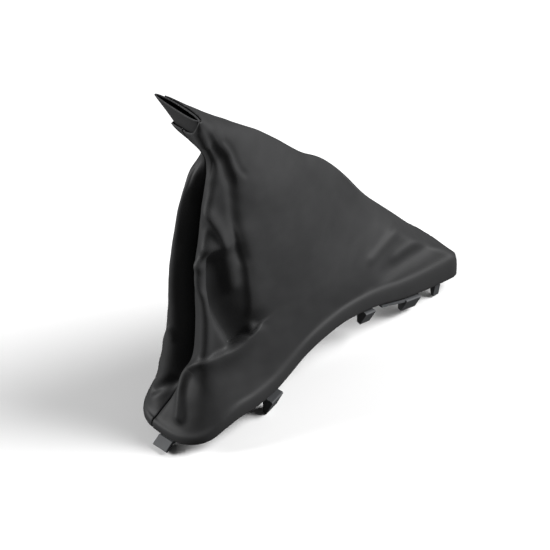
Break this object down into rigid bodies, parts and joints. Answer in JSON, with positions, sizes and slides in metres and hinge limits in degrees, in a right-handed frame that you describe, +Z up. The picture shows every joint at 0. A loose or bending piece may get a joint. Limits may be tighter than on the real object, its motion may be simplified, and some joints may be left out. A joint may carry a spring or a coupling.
{
  "type": "handbrake gaiter",
  "caption": "Black sewn artificial leather handbrake gaiter on a clip-in plastic frame, with a flattened open sleeve at the top for the lever.",
  "frame": {"origin": "on the surface the loose gaiter stands on, under the middle of its bounding box", "axes": "+X to the rear of the car, -X towards the tongue, +Y the left side, -Y the right side, +Z up"},
  "size_m": [0.2518, 0.0716, 0.2561],
  "materials": {
    "frame_plastic": "moulded, satin",
    "leather_black": "fine grain, satin matte",
    "sleeve_leather": "fine grain outside, cloth backed inside"
  },
  "bodies": {
    "root": {"frame": "frame_plastic", "right_panel": "leather_black", "left_panel": "leather_black", "neck_sleeve": "sleeve_leather"}
  },
  "joints": []
}
